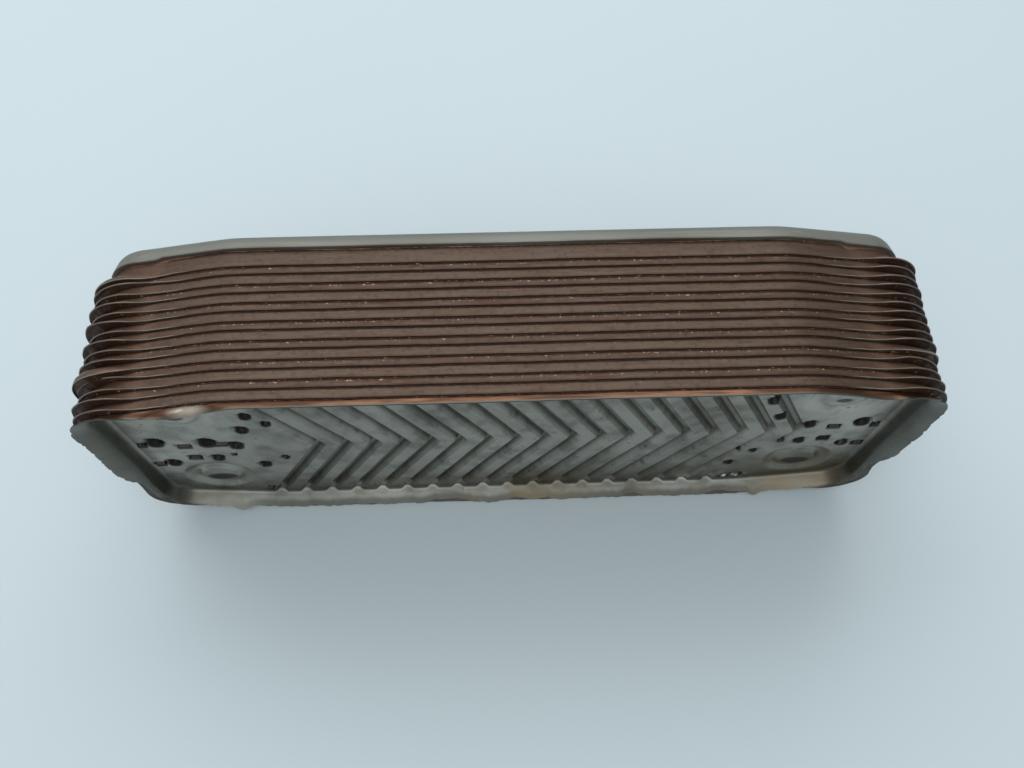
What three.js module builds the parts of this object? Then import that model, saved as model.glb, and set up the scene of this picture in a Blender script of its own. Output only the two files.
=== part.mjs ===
// Brazed plate heat exchanger, standing on one long edge.
// X runs along the plates, +Y points out of the ported mounting plate and +Z is up.
// Every plate is a pressed tray that opens towards -Y; the trays nest in each other and
// are sealed to each other by a copper seam between their flared skirts.
// All lengths are millimetres. The origin is at the middle of the box's underside.
import * as THREE from "three";

// ---- driving dimensions ----
const HALF_LENGTH = 90.4; // tray floor, middle to short end
const HALF_WIDTH = 34.25; // tray floor, middle to long side
const CREASE_X = 62; // where the long sides start to taper
const TAPER = 0.19; // fall of the long side per mm beyond the crease
const CORNER_RADIUS = 8.5;
const CORNER_STEPS = 3;

const SHEET = 0.4; // channel plate thickness
const PITCH = 2.3; // plate to plate
const JOINT_GAP = 0.05; // clearance at the brazed contact points
const PRESS = PITCH - SHEET - JOINT_GAP; // height of the pressed pattern
const TRAY_DEPTH = 8.4; // underside of the pattern to the edge of the skirt
const SKIRT_BEND = 6.2; // depth at which the lip at the short ends flares out
const SKIRT_SLOPE = Math.tan(THREE.MathUtils.degToRad(15));
const LIP_FLARE = 3.6; // extra reach of the lip at the short ends
const END_LIP_SHARE = 0.82; // the end plate's lip has only this share of that flare
const CORNER_FLARE = 0.7; // share of that flare where the corner starts
const LIP_EDGE = 0.6; // the lip's edge is wider by this share, as it is cut at a slant
const WALL = SHEET * Math.hypot(1, SKIRT_SLOPE); // sheet thickness measured across the skirt
const CHANNEL_PLATES = 15;

const CHEVRONS = 18;
const CHEVRON_PITCH = 6.9;
const FIRST_VALLEY_X = -62.9; // where the first valley meets the lower long side
const CHEVRON_RUN = 16.3; // how far the apex is ahead of the ends of its arms
const FIELD_HALF_WIDTH = 32.8; // where the arms' places along X are measured, short of the skirt
const RIDGE_PAST = 0.4; // ridges run on this far, to the flat border
const VALLEY_SHORT = 0.6; // valleys end this far back and slope up to the border
const VALLEY_TOP = 3.0; // width of a valley at its mouth, between flat ridges
const VALLEY_FLOOR = 1.3; // width of a valley at its floor

const PORT_X = 75.5;
const PORT_Z = 19.5;
const PORT_RADIUS = 6.5;
const SEAT_RADIUS = 8.2; // lowered seat round a port, at the pattern's underside
const SEAT_MOUTH_RADIUS = 9.3;
const BLANK_RADIUS = 4.5; // raised middle of a port that is not pierced
const BLANK_LEVEL = 0.6;
const PORT_SIDES = 8;

const MOUNT_SHEET = 0.9; // thicker plate that carries the ports
const MOUNT_SKIRT = 4.4; // depth of its short skirt, from the first channel plate's underside
const MOUNT_CLEARANCE = 0.12;
const MOUNT_SHOULDER = 0.7; // chamfer that stands for its rounded shoulder
const MOUNT_PORT_SIDES = 20;

const SEAM_CLEARANCE = 0.02;
const SEAM_BEND_GAP = 0.15; // from the bend of the tray inside to the start of the seam
const SEAM_SETBACK = 0.2; // from the edge of the skirt to the end of the seam
const SEAM_LIP_GAP = 0.1; // from the bend of the lip to the end of the seam
const SEAM_START = PITCH + PRESS + SEAM_BEND_GAP;
const SEAM_END = TRAY_DEPTH - SEAM_SETBACK;
const SEAM_END_AT_LIP = SKIRT_BEND - SEAM_LIP_GAP;

const DEPTH = CHANNEL_PLATES * PITCH + TRAY_DEPTH + JOINT_GAP + MOUNT_SHEET;
const FRONT_Y = -DEPTH / 2;
const HEIGHT = 2 * (HALF_WIDTH + (TRAY_DEPTH - PRESS) * SKIRT_SLOPE);

// Pressed dimples that hold the end zones of neighbouring plates apart, as distances from the
// middle along X and Z. The end that the chevrons point away from has room for more of them.
const DIMPLE_SIZE = 1.9;
const DIMPLE_FOOT = 0.8;
const DIMPLE_TURN = 0.35;
const DIMPLES_AHEAD = [
  [84.6, 4.6],
  [77.6, 3],
  [84.2, 11.4],
];
const DIMPLES_BEHIND = [...DIMPLES_AHEAD, [70, 4.6], [62, 6.6], [61.6, 20.5]];

// ---- materials ----
const STEEL = { color: 0x8d918a, roughness: 0.42, metalness: 0.9 };
const PLATE = { color: 0x7a5f50, roughness: 0.5, metalness: 0.85 };
const COPPER = { color: 0x9a5434, roughness: 0.45, metalness: 0.95 };

// ---- outline shared by all trays ----

// One quarter of the outline, from the crease to the short end: position, outward step for
// one mm of offset, and how strongly the lip flares there (0 on the long side, 1 at the end).
function quarterOutline() {
  const slant = Math.atan(TAPER);
  const centreX = HALF_LENGTH - CORNER_RADIUS;
  const sideZ = HALF_WIDTH - TAPER * (centreX - CREASE_X);
  const centreZ = sideZ - CORNER_RADIUS / Math.cos(slant);
  const points = [
    {
      x: CREASE_X,
      z: HALF_WIDTH,
      outX: Math.tan(slant / 2),
      outZ: 1,
      flare: 0,
    },
  ];
  for (let i = 0; i <= CORNER_STEPS; i++) {
    const angle = (Math.PI / 2 - slant) * (1 - i / CORNER_STEPS);
    points.push({
      x: centreX + CORNER_RADIUS * Math.cos(angle),
      z: centreZ + CORNER_RADIUS * Math.sin(angle),
      outX: Math.cos(angle),
      outZ: Math.sin(angle),
      flare: i === 0 ? CORNER_FLARE : 1,
    });
  }
  return points;
}

// The whole outline, anticlockwise in the X-Z plane, starting at the crease of the +X +Z quarter.
function wholeOutline() {
  const quarter = quarterOutline();
  const flip = (points, signX, signZ) =>
    points.map((p) => ({
      x: p.x * signX,
      z: p.z * signZ,
      outX: p.outX * signX,
      outZ: p.outZ * signZ,
      flare: p.flare,
    }));
  const back = [...quarter].reverse();
  return [
    ...flip(quarter, -1, 1),
    ...flip(back, -1, -1),
    ...flip(quarter, 1, -1),
    ...flip(back, 1, 1),
  ];
}

const OUTLINE = wholeOutline();
const QUARTER_COUNT = OUTLINE.length / 4;

// How far the outer face of a skirt stands out from the tray floor's outline, at a depth
// measured from the underside of the pressed pattern.
function skirtReach(depth, flare) {
  const past = Math.max(0, depth - SKIRT_BEND) / (TRAY_DEPTH - SKIRT_BEND);
  return (depth - PRESS) * SKIRT_SLOPE + past * flare * LIP_FLARE;
}

// ---- mesh building ----

// Collects points and triangles. Points within a thousandth of a mm are one point.
class Skin {
  constructor() {
    this.positions = [];
    this.index = new Map();
    this.triangles = [];
  }

  point(x, y, z) {
    const key = [x, y, z].map((value) => Math.round(value * 1e3)).join();
    if (!this.index.has(key)) {
      this.index.set(key, this.positions.length / 3);
      this.positions.push(x, y, z);
    }
    return this.index.get(key);
  }

  triangle(a, b, c) {
    if (a !== b && b !== c && c !== a) this.triangles.push(a, b, c);
  }

  quad(a, b, c, d) {
    this.triangle(a, b, c);
    this.triangle(a, c, d);
  }

  // Closed band between two rings of the same number of points.
  band(ringA, ringB) {
    ringA.forEach((a, i) => {
      const next = (i + 1) % ringA.length;
      this.quad(a, ringA[next], ringB[next], ringB[i]);
    });
  }

  geometry() {
    const geometry = new THREE.BufferGeometry();
    geometry.setAttribute("position", new THREE.Float32BufferAttribute(this.positions, 3));
    geometry.setIndex(this.triangles);
    geometry.computeVertexNormals();
    return geometry;
  }
}

// A plan of flat points { x, z, level } and triangles wound anticlockwise in the X-Z plane.
class Plan {
  constructor() {
    this.points = [];
    this.triangles = [];
  }

  add(x, z, level, rim = null) {
    this.points.push({ x, z, level, rim });
    return this.points.length - 1;
  }

  triangle(a, b, c) {
    const [p, q, r] = [a, b, c].map((i) => this.points[i]);
    const area = (q.x - p.x) * (r.z - p.z) - (r.x - p.x) * (q.z - p.z);
    this.triangles.push(area > 0 ? [a, b, c] : [a, c, b]);
  }

  // Strip between two lines of points that run the same way.
  strip(lineA, lineB) {
    let i = 0;
    let j = 0;
    const far = (a, b) => {
      const [p, q] = [this.points[a], this.points[b]];
      return Math.hypot(p.x - q.x, p.z - q.z);
    };
    while (i < lineA.length - 1 || j < lineB.length - 1) {
      const canA = i < lineA.length - 1;
      const canB = j < lineB.length - 1;
      const stepA = canA ? far(lineA[i + 1], lineB[j]) : Infinity;
      const stepB = canB ? far(lineA[i], lineB[j + 1]) : Infinity;
      if (stepA <= stepB) {
        this.triangle(lineA[i], lineA[i + 1], lineB[j]);
        i += 1;
      } else {
        this.triangle(lineA[i], lineB[j + 1], lineB[j]);
        j += 1;
      }
    }
  }

  ringStrip(ringA, ringB) {
    ringA.forEach((a, i) => {
      const next = (i + 1) % ringA.length;
      this.triangle(a, ringA[next], ringB[next]);
      this.triangle(a, ringB[next], ringB[i]);
    });
  }

  area(outline, holes = []) {
    const toVector = (i) => new THREE.Vector2(this.points[i].x, this.points[i].z);
    const all = [outline, ...holes].flat();
    const faces = THREE.ShapeUtils.triangulateShape(
      outline.map(toVector),
      holes.map((hole) => hole.map(toVector)),
    );
    faces.forEach(([a, b, c]) => this.triangle(all[a], all[b], all[c]));
  }

  polygonRing(centreX, centreZ, radius, sides, level, turn = 0) {
    return Array.from({ length: sides }, (_, i) => {
      const angle = turn + (2 * Math.PI * (i + 0.5)) / sides;
      return this.add(
        centreX + radius * Math.cos(angle),
        centreZ + radius * Math.sin(angle),
        level,
      );
    });
  }
}

// ---- tray floor ----

// Lines across the chevron field, left to right, as { x on the long sides, level }. The end
// plate has flat ridges and valleys; the channel plates' ridges and valleys are sharp.
function chevronLines(flatRidges) {
  const lines = [];
  for (let i = 0; i < CHEVRONS; i++) {
    const x = FIRST_VALLEY_X + i * CHEVRON_PITCH;
    if (flatRidges) {
      lines.push({ x: x - VALLEY_TOP / 2, level: PRESS });
      lines.push({ x: x - VALLEY_FLOOR / 2, level: 0 });
      lines.push({ x: x + VALLEY_FLOOR / 2, level: 0 });
      lines.push({ x: x + VALLEY_TOP / 2, level: PRESS });
    } else {
      if (i === 0) lines.push({ x: x - VALLEY_TOP / 2, level: PRESS });
      lines.push({ x, level: 0 });
      const isLast = i === CHEVRONS - 1;
      lines.push({ x: x + (isLast ? VALLEY_TOP : CHEVRON_PITCH) / 2, level: PRESS });
    }
  }
  return lines;
}

// Floor of one tray. On a channel plate the two ports at the lower long side are lowered to the
// pattern's underside, and the other two stay level with the ridges. The end plate isn't pierced.
function trayFloor(isEndPlate) {
  const plan = new Plan();
  const rim = OUTLINE.map((p) => plan.add(p.x, p.z, PRESS, p));
  const lines = chevronLines(isEndPlate);
  const armEnd = (line, side) => {
    const past = line.level === PRESS ? RIDGE_PAST : -VALLEY_SHORT;
    const x = line.x - (CHEVRON_RUN * past) / FIELD_HALF_WIDTH;
    return plan.add(x, side * (FIELD_HALF_WIDTH + past), line.level);
  };
  const lower = lines.map((line) => armEnd(line, -1));
  const apex = lines.map((line) => plan.add(line.x + CHEVRON_RUN, 0, line.level));
  const upper = lines.map((line) => armEnd(line, 1));
  for (let i = 0; i < lines.length - 1; i++) {
    for (const arm of [lower, upper]) {
      plan.triangle(arm[i], arm[i + 1], apex[i + 1]);
      plan.triangle(arm[i], apex[i + 1], apex[i]);
    }
  }
  const isRidge = (i) => lines[i].level === PRESS;
  for (const arm of [lower, upper]) {
    lines.forEach((line, i) => {
      if (isRidge(i)) return;
      const ridgeAhead = isRidge(i + 1) ? i + 1 : i + 2;
      plan.triangle(arm[i - 1], arm[i], arm[ridgeAhead]);
    });
  }

  const left = rim.slice(0, 2 * QUARTER_COUNT);
  const right = rim.slice(2 * QUARTER_COUNT);
  const lowerSide = [left.at(-1), right[0]];
  const upperSide = [left[0], right.at(-1)];
  const ridgeEnds = (arm) => arm.filter((point, i) => isRidge(i));
  plan.strip(ridgeEnds(lower), lowerSide);
  plan.strip(ridgeEnds(upper), upperSide);

  const bores = [];
  for (const [sign, border, last] of [
    [-1, left, 0],
    [1, right, lines.length - 1],
  ]) {
    const holes = [];
    for (const side of [-1, 1]) {
      const x = sign * PORT_X;
      const z = side * PORT_Z;
      const ring = (radius, level) => plan.polygonRing(x, z, radius, PORT_SIDES, level);
      if (isEndPlate) {
        const mouth = ring(SEAT_MOUTH_RADIUS, PRESS);
        const seat = ring(SEAT_RADIUS, 0);
        const blank = ring(BLANK_RADIUS, BLANK_LEVEL);
        plan.ringStrip(mouth, seat);
        plan.ringStrip(seat, blank);
        plan.area(blank);
        holes.push(mouth);
      } else if (side < 0) {
        const mouth = ring(SEAT_MOUTH_RADIUS, PRESS);
        const bore = ring(PORT_RADIUS, 0);
        plan.ringStrip(mouth, bore);
        holes.push(mouth);
        bores.push(bore);
      } else {
        const bore = ring(PORT_RADIUS, PRESS);
        holes.push(bore);
        bores.push(bore);
      }
    }
    if (isEndPlate) {
      for (const [x, z] of sign < 0 ? DIMPLES_BEHIND : DIMPLES_AHEAD) {
        for (const side of [-1, 1]) {
          const mouth = plan.polygonRing(sign * x, side * z, DIMPLE_SIZE, 4, PRESS, DIMPLE_TURN);
          const foot = plan.polygonRing(sign * x, side * z, DIMPLE_FOOT, 4, 0, DIMPLE_TURN);
          plan.ringStrip(mouth, foot);
          plan.area(foot);
          holes.push(mouth);
        }
      }
    }
    const ends = sign < 0 ? [upper, apex, lower] : [lower, apex, upper];
    const inner = ends.map((line) => line[last]).reverse();
    plan.area([...border, ...inner], holes);
  }
  return { plan, rim, bores };
}

// ---- trays ----

// backY is the Y of the underside of the pressed pattern; the skirt reaches towards -Y.
// turned rotates the tray by half a turn about Y, as every second plate in a stack is.
function trayGeometry(backY, turned, isEndPlate) {
  const { plan, rim, bores } = trayFloor(isEndPlate);
  const skin = new Skin();
  const sign = turned ? -1 : 1;
  const place = (x, z, depth) => skin.point(sign * x, backY - depth, HEIGHT / 2 + sign * z);
  const rimPoint = (p, offset, depth) =>
    place(p.x + p.outX * offset, p.z + p.outZ * offset, depth);

  const under = plan.points.map((p) => place(p.x, p.z, p.level));
  const top = plan.points.map((p) =>
    p.rim
      ? rimPoint(p.rim, SHEET * SKIRT_SLOPE - WALL, PRESS + SHEET)
      : place(p.x, p.z, p.level + SHEET),
  );
  plan.triangles.forEach(([a, b, c]) => {
    skin.triangle(under[a], under[c], under[b]);
    skin.triangle(top[a], top[b], top[c]);
  });

  const outerBend = OUTLINE.map((p) => rimPoint(p, skirtReach(SKIRT_BEND, 0), SKIRT_BEND));
  const lipShare = isEndPlate ? END_LIP_SHARE : 1;
  const edgeReach = (p) => skirtReach(TRAY_DEPTH, p.flare * lipShare);
  const edgeWidth = (p) => WALL * (1 + LIP_EDGE * p.flare);
  const outerEdge = OUTLINE.map((p) => rimPoint(p, edgeReach(p), TRAY_DEPTH));
  const innerEdge = OUTLINE.map((p) => rimPoint(p, edgeReach(p) - edgeWidth(p), TRAY_DEPTH));
  const innerBend = OUTLINE.map((p) =>
    rimPoint(p, skirtReach(SKIRT_BEND, 0) - WALL, SKIRT_BEND),
  );
  const underRim = rim.map((i) => under[i]);
  const topRim = rim.map((i) => top[i]);
  skin.band(underRim, outerBend);
  skin.band(outerBend, outerEdge);
  skin.band(outerEdge, innerEdge);
  skin.band(innerEdge, innerBend);
  skin.band(innerBend, topRim);
  bores.forEach((bore) => {
    skin.band(
      bore.map((i) => top[i]),
      bore.map((i) => under[i]),
    );
  });
  return skin.geometry();
}

// ---- mounting plate ----

function mountGeometry(backY) {
  const skin = new Skin();
  const plan = new Plan();
  const place = (x, z, depth) => skin.point(x, backY - depth, HEIGHT / 2 + z);
  const wall = MOUNT_SHEET * Math.hypot(1, SKIRT_SLOPE);
  const ringAt = (offset, depth) =>
    OUTLINE.map((p) => place(p.x + p.outX * offset, p.z + p.outZ * offset, depth));
  const innerReach = (depth) => skirtReach(depth, 0) + MOUNT_CLEARANCE;

  const rim = OUTLINE.map((p) => plan.add(p.x, p.z, 0, p));
  const bores = [];
  for (const signX of [-1, 1]) {
    for (const signZ of [-1, 1]) {
      const [x, z] = [signX * PORT_X, signZ * PORT_Z];
      bores.push(plan.polygonRing(x, z, PORT_RADIUS, MOUNT_PORT_SIDES, 0));
    }
  }
  plan.area(rim, bores);
  const outerFace = -JOINT_GAP - MOUNT_SHEET;
  const innerFace = -JOINT_GAP;
  const face = (depth, offset) =>
    plan.points.map((p) =>
      p.rim
        ? place(p.x + p.rim.outX * offset, p.z + p.rim.outZ * offset, depth)
        : place(p.x, p.z, depth),
    );
  const outerOffset = innerReach(outerFace) + wall - MOUNT_SHOULDER;
  const under = face(outerFace, outerOffset);
  const top = face(innerFace, innerReach(innerFace));
  plan.triangles.forEach(([a, b, c]) => {
    skin.triangle(under[a], under[c], under[b]);
    skin.triangle(top[a], top[b], top[c]);
  });
  const shoulderDepth = outerFace + MOUNT_SHOULDER;
  const rings = [
    rim.map((i) => under[i]),
    ringAt(innerReach(shoulderDepth) + wall, shoulderDepth),
    ringAt(innerReach(MOUNT_SKIRT) + wall, MOUNT_SKIRT),
    ringAt(innerReach(MOUNT_SKIRT), MOUNT_SKIRT),
    rim.map((i) => top[i]),
  ];
  for (let i = 0; i < rings.length - 1; i++) skin.band(rings[i], rings[i + 1]);
  bores.forEach((bore) => {
    skin.band(
      bore.map((i) => top[i]),
      bore.map((i) => under[i]),
    );
  });
  return skin.geometry();
}

// ---- copper seams ----

// Ring of copper between the skirt of one tray and the skirt of the tray nested in it.
// inner and outer give the faces' reach at a depth; the ring runs from start to end(flare).
function seamGeometry(backY, inner, outer, start, end) {
  const skin = new Skin();
  const ring = (reach, depthOf) =>
    OUTLINE.map((p) => {
      const depth = depthOf(p.flare);
      const offset = reach(depth);
      return skin.point(
        p.x + p.outX * offset,
        backY - depth,
        HEIGHT / 2 + p.z + p.outZ * offset,
      );
    });
  const rings = [
    ring(inner, () => start),
    ring(outer, () => start),
    ring(outer, end),
    ring(inner, end),
  ];
  rings.forEach((a, i) => skin.band(a, rings[(i + 1) % rings.length]));
  return skin.geometry();
}

function traySeam(backY) {
  const inner = (depth) => skirtReach(depth - PITCH, 0) + SEAM_CLEARANCE;
  const outer = (depth) => skirtReach(depth, 0) - WALL - SEAM_CLEARANCE;
  const end = (flare) =>
    SEAM_END + (SEAM_END_AT_LIP - SEAM_END) * Math.min(1, flare / CORNER_FLARE);
  return seamGeometry(backY, inner, outer, SEAM_START, end);
}

function mountSeam(backY) {
  const inner = (depth) => skirtReach(depth, 0) + SEAM_CLEARANCE;
  const outer = (depth) => skirtReach(depth, 0) + MOUNT_CLEARANCE - SEAM_CLEARANCE;
  return seamGeometry(backY, inner, outer, PRESS + SEAM_BEND_GAP, () => MOUNT_SKIRT - SEAM_LIP_GAP);
}

// ---- assembly ----

const group = new THREE.Group();

function addPiece(name, geometry, finish) {
  const mesh = new THREE.Mesh(geometry, new THREE.MeshStandardMaterial(finish));
  mesh.name = name;
  group.add(mesh);
}

const number = (value) => String(value).padStart(2, "0");
const backYOf = (plate) => FRONT_Y + TRAY_DEPTH + (CHANNEL_PLATES + 1 - plate) * PITCH;

addPiece("mounting_plate", mountGeometry(backYOf(1)), STEEL);
addPiece("mounting_plate_seam", mountSeam(backYOf(1)), COPPER);
for (let plate = 1; plate <= CHANNEL_PLATES; plate++) {
  const geometry = trayGeometry(backYOf(plate), plate % 2 === 1, false);
  addPiece("channel_plate_" + number(plate), geometry, PLATE);
  addPiece("braze_seam_" + number(plate), traySeam(backYOf(plate)), COPPER);
}
addPiece("blind_end_plate", trayGeometry(backYOf(CHANNEL_PLATES + 1), false, true), STEEL);

export default group;
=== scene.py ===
"""Looks of a brazed plate heat exchanger that stands on one long edge.

X runs along the plates, +Y points out of the ported mounting plate, +Z is up. Every plate is a
pressed tray that opens towards -Y. Shapes are worked out in millimetres and written in metres.
"""

import math

import bmesh
import bpy
import numpy as np
from mathutils import Matrix, Vector


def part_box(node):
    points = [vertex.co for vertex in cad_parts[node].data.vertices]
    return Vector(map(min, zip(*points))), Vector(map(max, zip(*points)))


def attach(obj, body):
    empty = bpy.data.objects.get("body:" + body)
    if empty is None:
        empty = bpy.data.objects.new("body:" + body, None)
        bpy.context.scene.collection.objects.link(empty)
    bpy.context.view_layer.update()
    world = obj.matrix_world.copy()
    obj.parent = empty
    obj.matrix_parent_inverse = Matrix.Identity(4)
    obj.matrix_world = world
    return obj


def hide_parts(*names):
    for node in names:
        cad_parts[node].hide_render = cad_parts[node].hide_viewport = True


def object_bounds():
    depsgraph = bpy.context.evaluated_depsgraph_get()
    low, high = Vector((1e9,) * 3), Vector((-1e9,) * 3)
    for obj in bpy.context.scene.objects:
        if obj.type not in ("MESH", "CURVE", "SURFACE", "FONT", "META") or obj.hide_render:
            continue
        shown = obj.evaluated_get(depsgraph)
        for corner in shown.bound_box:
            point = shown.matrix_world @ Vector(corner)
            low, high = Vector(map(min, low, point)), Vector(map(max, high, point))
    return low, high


MM = 0.001

# ---- driving dimensions, in millimetres ----
HALF_LENGTH = 90.4
HALF_WIDTH = 34.25
CREASE_X = 62.0
CREASE_SOFTNESS = 2.2
TAPER = 0.19
CORNER_RADIUS = 8.5

SHEET = 0.4
PRESS = 1.85
TRAY_DEPTH = 8.4
SKIRT_BEND = 6.0
SKIRT_SLOPE = math.tan(math.radians(15))
WALL = SHEET * math.hypot(1, SKIRT_SLOPE)
LIP_FLARE = 3.5
FLOOR_INSET = 1.1
PITCH = 2.3
CHANNEL_PLATES = 15
END_TRAY = CHANNEL_PLATES + 1

CHEVRONS = 18
CHEVRON_PITCH = 6.9
FIRST_VALLEY_X = -62.9
CHEVRON_RUN = 16.3
VALLEY_TOP = 1.75
VALLEY_FLOOR = 0.6

PORT_X = 75.5
PORT_Z = 19.5
PORT_RADIUS = 6.5
SEAT_RADIUS = 8.0
SEAT_MOUTH_RADIUS = 9.4
SEAT_PATCH = 9.6
BLANK_RADIUS = 4.9
MOUNT_PATCH = 7.6

MOUNT_SHEET = 0.9
MOUNT_SKIRT = 4.4
MOUNT_CLEARANCE = 0.12
JOINT_GAP = 0.05
MOUNT_INSET = 2.5
MOUNT_JOG = 0.62

LIP_START_X = 77.0
LIP_BLEND = 14.0
BARE_START_X = CREASE_X + 2.0
BARE_BLEND = 17.0
EDGE_CURL = 0.12
CURL_LENGTH = 1.2
DENT_LENGTH = 3.0

# Numbers of rings, by the step between the grid lines of the floor round them.
BLEND_RINGS = {1: 8, 2: 5}
PIERCED_RINGS = {1: 9, 2: 5}
BLANK_RINGS = {1: 22, 2: 12}
PATCH_MARGIN = 0.3
BLANK_CENTRE_RADIUS = 0.7
BEND_STEPS = (0.0, 0.22, 0.42, 0.6, 0.8, 1.0)
BEND_DROP = 1.15


# ---- curves and seeded waves ----


def smooth(t):
    t = np.clip(t, 0.0, 1.0)
    return t * t * (3 - 2 * t)


def bump(value, centre, half_width):
    """1 at the centre, falling smoothly to 0 at half_width away from it."""
    return smooth(1 - np.abs(value - centre) / half_width)


def wander(run, length, seed, waves):
    """A smooth closed wave round a ring of that length, within -1 and 1."""
    rng = np.random.default_rng(seed)
    total = np.zeros_like(run)
    weight = 0.0
    for wave in waves:
        turns = max(1, round(length / wave))
        phase = rng.uniform(0, 2 * math.pi, 3)
        share = rng.uniform(0.6, 1.0)
        for k in range(3):
            total += share * np.sin(2 * math.pi * (turns + k) * run / length + phase[k])
        weight += 3 * share
    return total / weight * 1.6


# ---- outline of the trays ----


def top_side(arc_steps, taper_steps, steps_per_chevron):
    """Upper half of the outline from the left end to the right one.

    Returns x, z and the outward direction (ox, oz) of its points.
    """
    slant = math.atan(TAPER)
    centre_x = HALF_LENGTH - CORNER_RADIUS
    corner_z = HALF_WIDTH - TAPER * (centre_x - CREASE_X)
    centre_z = corner_z - CORNER_RADIUS / math.cos(slant)
    angle = np.linspace(0, math.pi / 2 - slant, arc_steps + 1)
    arc_x = centre_x + CORNER_RADIUS * np.cos(angle)
    arc_z = centre_z + CORNER_RADIUS * np.sin(angle)

    field_start = FIRST_VALLEY_X - CHEVRON_PITCH / 2
    field_end = field_start + CHEVRONS * CHEVRON_PITCH
    left = np.linspace(-arc_x[-1], field_start, taper_steps + 1)
    field = np.linspace(field_start, field_end, CHEVRONS * steps_per_chevron + 1)
    right = np.linspace(field_end, arc_x[-1], taper_steps + 1)
    side_x = np.concatenate([left, field[1:], right[1:]])
    past = np.abs(side_x) - CREASE_X
    fall = (past + np.sqrt(past**2 + CREASE_SOFTNESS**2)) / 2
    side_z = HALF_WIDTH - TAPER * fall
    side_slope = -TAPER * np.sign(side_x) * (1 + past / np.hypot(past, CREASE_SOFTNESS)) / 2

    x = np.concatenate([-arc_x[:-1], side_x, arc_x[:-1][::-1]])
    z = np.concatenate([arc_z[:-1], side_z, arc_z[:-1][::-1]])
    side_length = np.hypot(1, side_slope)
    out_x = np.concatenate(
        [-np.cos(angle[:-1]), -side_slope / side_length, np.cos(angle[:-1][::-1])]
    )
    out_z = np.concatenate([np.sin(angle[:-1]), 1 / side_length, np.sin(angle[:-1][::-1])])
    return {"x": x, "z": z, "ox": out_x, "oz": out_z}


def lip_share(x):
    """How strongly the lip flares: 0 along the middle of the long sides, 1 at the ends."""
    return smooth((np.abs(x) - LIP_START_X) / LIP_BLEND)


def bare_share(x):
    """How bare of copper a skirt's edge is: 0 along the middle, 1 beyond the creases."""
    return smooth((np.abs(x) - BARE_START_X) / BARE_BLEND)


class Outline:
    """The closed outline, as the border of a grid of columns and rows that fills it."""

    def __init__(self, arc_steps, taper_steps, steps_per_chevron, rows):
        self.top = top_side(arc_steps, taper_steps, steps_per_chevron)
        self.columns = len(self.top["x"]) - 1
        self.rows = rows
        self.v = np.linspace(-1, 1, rows + 1)
        top = self.top
        end_z = top["z"][0]
        side_v = self.v[1:-1]
        ones = np.ones_like(side_v)
        zeros = np.zeros_like(side_v)
        self.x = np.concatenate(
            [top["x"], top["x"][-1] * ones, top["x"][::-1], top["x"][0] * ones]
        )
        self.z = np.concatenate(
            [top["z"], end_z * side_v[::-1], -top["z"][::-1], end_z * side_v]
        )
        self.ox = np.concatenate([top["ox"], ones, top["ox"][::-1], -ones])
        self.oz = np.concatenate([top["oz"], zeros, -top["oz"][::-1], zeros])
        step = np.hypot(np.diff(self.x, append=self.x[0]), np.diff(self.z, append=self.z[0]))
        self.run = np.concatenate([[0], np.cumsum(step)[:-1]])
        self.length = float(step.sum())
        self.lip = lip_share(self.x)
        self.bare = bare_share(self.x)
        self.count = len(self.x)

    def placed_run(self, sign):
        """Distance along the outline of the stack, the same for turned and unturned plates."""
        return self.run if sign > 0 else (self.run + self.length / 2) % self.length

    def border(self, step):
        """The grid indices of the border, in the order of the outline."""
        c, r = self.columns // step, self.rows // step
        return (
            [(i, r) for i in range(c + 1)]
            + [(c, j) for j in range(r - 1, 0, -1)]
            + [(i, 0) for i in range(c, -1, -1)]
            + [(0, j) for j in range(1, r)]
        )

    def grid(self, inset, step):
        """Points of the filling grid, its columns bent into chevrons over the field."""
        top = {key: value[::step] for key, value in self.top.items()}
        x = top["x"] - top["ox"] * inset
        z = top["z"] - top["oz"] * inset
        v = self.v[::step]
        field_start = FIRST_VALLEY_X - CHEVRON_PITCH / 2
        field_end = field_start + CHEVRONS * CHEVRON_PITCH
        fade = np.minimum(
            np.clip((top["x"] + HALF_LENGTH) / (field_start + HALF_LENGTH), 0, 1),
            np.clip((HALF_LENGTH - top["x"]) / (HALF_LENGTH - field_end), 0, 1),
        )
        bend = CHEVRON_RUN * (1 - np.abs(v))[None, :] * fade[:, None]
        return x[:, None] + bend, z[:, None] * v[None, :], top["x"][:, None], v[None, :]


# ---- mesh assembly ----


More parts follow.
